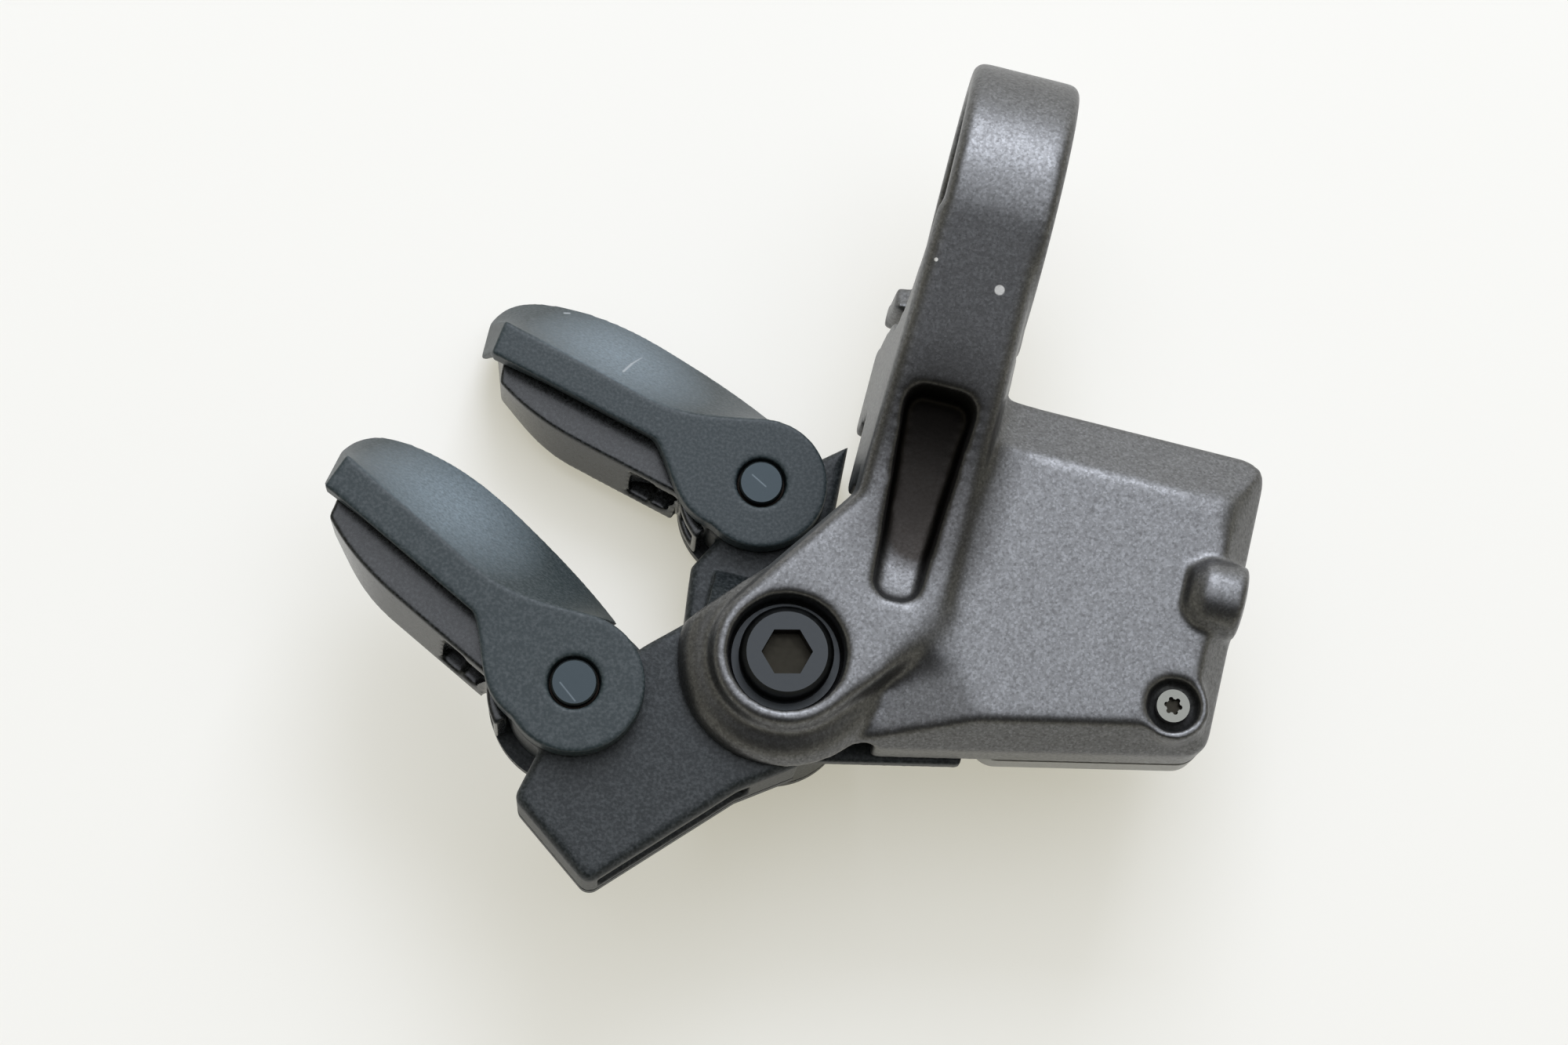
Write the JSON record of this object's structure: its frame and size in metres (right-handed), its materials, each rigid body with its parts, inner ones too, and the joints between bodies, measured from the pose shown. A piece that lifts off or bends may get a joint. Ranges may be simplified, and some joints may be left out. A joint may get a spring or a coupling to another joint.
{
  "type": "trigger gear shifter",
  "caption": "Electronic trigger shifter: a handlebar band clamp on a cast bracket with a sealed cell compartment, and sprung thumb paddles that press inner switches.",
  "frame": {"origin": "centre of the handlebar bore, half way along the clamp ring", "axes": "+X along the bar towards the face plate, +Y up the face plate towards the bar, +Z out of the face plate"},
  "size_m": [0.0847, 0.0838, 0.0392],
  "materials": {
    "cast_alloy": "fine-grained satin bronze-grey metallic paint over a cast alloy",
    "cover_grey": "smooth satin grey",
    "seal_rubber": "matte black",
    "black_bolt": "black oxide, satin",
    "steel": "plain steel",
    "small_screw": "plated steel",
    "board": "green laminate",
    "module_can": "tinned can",
    "cell_steel": "bright cell case",
    "spring_brass": "bright spring leaf",
    "arm_plastic": "black, fine grain",
    "paddle_shell": "dark grey-black, fine grain",
    "thumb_pad": "dark grey, satin",
    "bush": "black bearing plastic",
    "pin_dark": "dark satin, turned",
    "switch_plastic": "black",
    "button_plastic": "off-white"
  },
  "bodies": {
    "bracket": {"main_bracket": "cast_alloy", "back_cover": "cover_grey", "cover_gasket": "seal_rubber", "unit_bolt": "black_bolt", "bolt_washer": "steel", "clamp_screw": "steel", "clamp_washer": "steel", "bolt_nut": "steel", "cover_screw": "small_screw", "circuit_board": "board", "radio_module": "module_can", "coin_cell": "cell_steel", "contact_negative": "spring_brass", "contact_positive": "spring_brass", "switch_arm": "arm_plastic", "arm_floor": "arm_plastic", "upper_carrier": "arm_plastic", "carrier_floor": "arm_plastic", "lower_pivot_pin": "pin_dark", "lower_pin_clip": "steel", "lower_return_spring": "steel", "lower_switch_body": "switch_plastic", "upper_pivot_pin": "pin_dark", "upper_pin_clip": "steel", "upper_return_spring": "steel", "upper_switch_body": "switch_plastic"},
    "lower_paddle": {"lower_lever": "paddle_shell", "lower_thumb_pad": "thumb_pad", "lower_lever_bush": "bush"},
    "lower_button": {"lower_switch_button": "button_plastic"},
    "upper_paddle": {"upper_lever": "paddle_shell", "upper_thumb_pad": "thumb_pad", "upper_lever_bush": "bush"},
    "upper_button": {"upper_switch_button": "button_plastic"}
  },
  "joints": [
    {"name": "lower_paddle_hinge", "type": "hinge", "parent": "bracket", "child": "lower_paddle", "pos_m": [-0.0268, -0.05305, 0.004], "axis": [0, 0, -1], "range_deg": [0, 9], "stiffness_Nm_per_rad": 0.06, "springref_deg": -28.65, "deforming": ["lower_return_spring"]},
    {"name": "lower_button_slide", "type": "slide", "parent": "bracket", "child": "lower_button", "axis": [-0.4478, -0.8942, 0], "range_m": [0, 0.0009]},
    {"name": "upper_paddle_hinge", "type": "hinge", "parent": "bracket", "child": "upper_paddle", "pos_m": [-0.0151, -0.0269, -0.012], "axis": [0, 0, -1], "range_deg": [0, 9], "stiffness_Nm_per_rad": 0.06, "springref_deg": -28.65, "deforming": ["upper_return_spring"]},
    {"name": "upper_button_slide", "type": "slide", "parent": "bracket", "child": "upper_button", "axis": [-0.2453, -0.9694, 0], "range_m": [0, 0.0009]}
  ],
  "couplings": [
    {"joint": "lower_button_slide", "follows": "lower_paddle_hinge", "m_per_rad": 0.0039},
    {"joint": "upper_button_slide", "follows": "upper_paddle_hinge", "m_per_rad": 0.0039}
  ]
}
